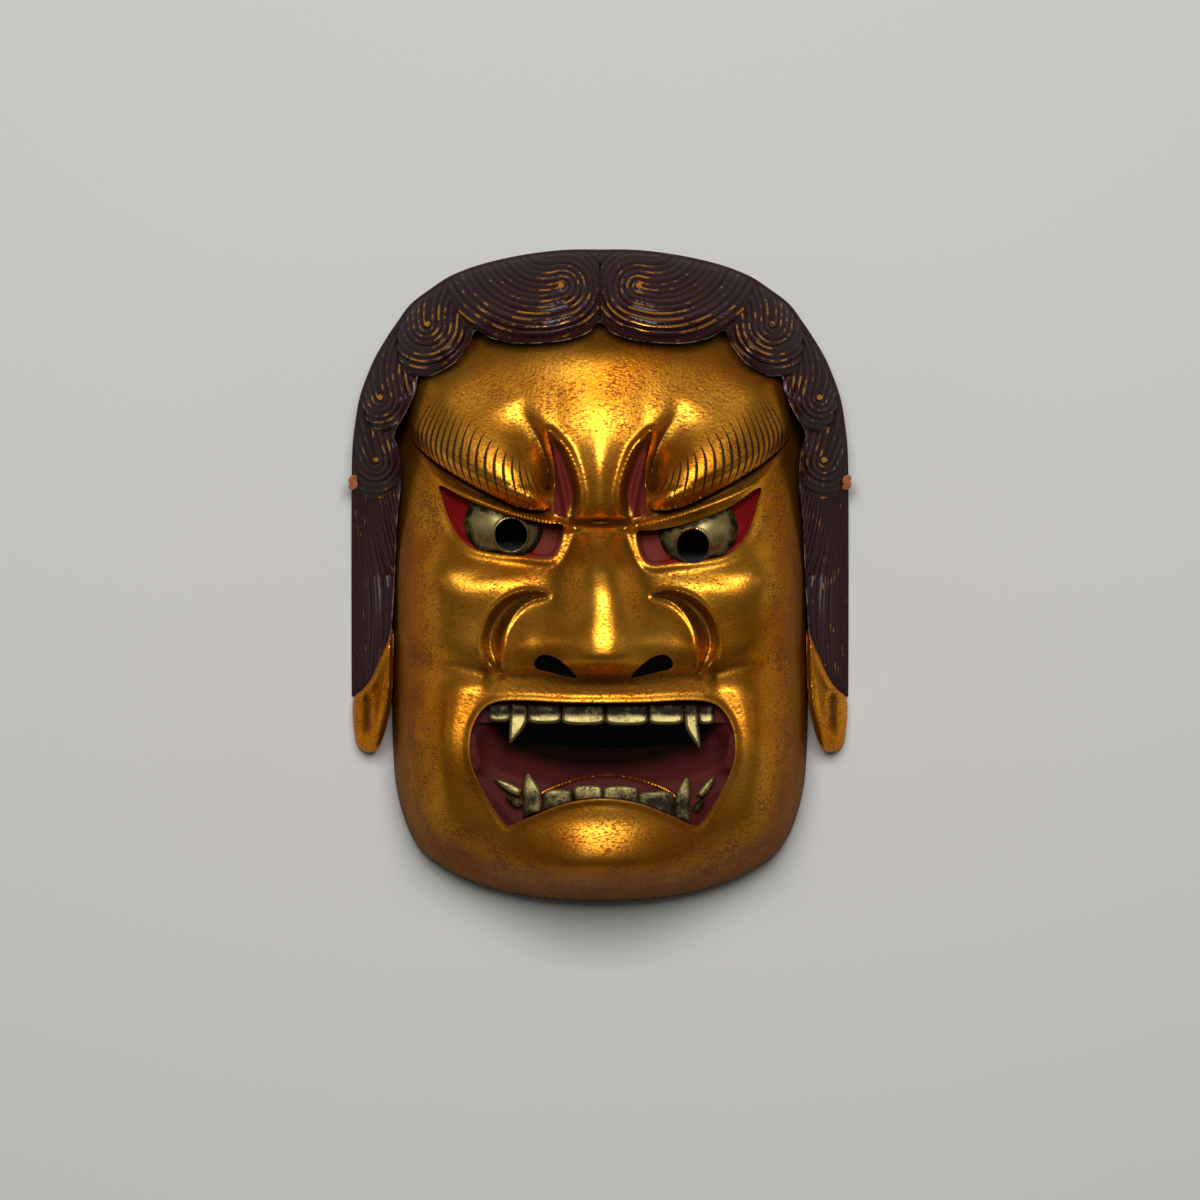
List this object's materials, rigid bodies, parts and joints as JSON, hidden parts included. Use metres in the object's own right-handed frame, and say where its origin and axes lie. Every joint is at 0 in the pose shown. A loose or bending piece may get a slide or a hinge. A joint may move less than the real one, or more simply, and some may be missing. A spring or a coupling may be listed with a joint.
{
  "type": "buddhist deity mask",
  "caption": "Gilded wooden mask of a wrathful deity, with curled hair, long ear lobes, metal eyes and teeth, a hollow back and a cord through its sides.",
  "frame": {"origin": "middle of the mask's outline, on the surface that its back rim lies on", "axes": "+Z out of the face, +Y to the crown, +X to the right of someone who looks at the face"},
  "size_m": [0.1684, 0.2186, 0.0875],
  "materials": {
    "gilt_lacquer": "carved wood under dark lacquer, gilded with leaf on the face, rubbed through and aged",
    "aged_brass": "beaten sheet, satin, dark in the edges",
    "orange_cord": "twisted silk cord, faded orange"
  },
  "bodies": {
    "root": {"mask": "gilt_lacquer", "eye_left": "aged_brass", "eye_right": "aged_brass", "upper_side_tooth_left": "aged_brass", "upper_fang_left": "aged_brass", "upper_incisor_1": "aged_brass", "upper_incisor_2": "aged_brass", "upper_incisor_3": "aged_brass", "upper_incisor_4": "aged_brass", "upper_fang_right": "aged_brass", "upper_side_tooth_right": "aged_brass", "lower_fang_left": "aged_brass", "lower_incisor_1": "aged_brass", "lower_incisor_2": "aged_brass", "lower_incisor_3": "aged_brass", "lower_incisor_4": "aged_brass", "lower_fang_right": "aged_brass", "lower_side_tooth_left_1": "aged_brass", "lower_side_tooth_left_2": "aged_brass", "lower_side_tooth_right_1": "aged_brass", "lower_side_tooth_right_2": "aged_brass", "hanging_cord": "orange_cord", "cord_knot_left": "orange_cord", "cord_knot_right": "orange_cord"}
  },
  "joints": []
}
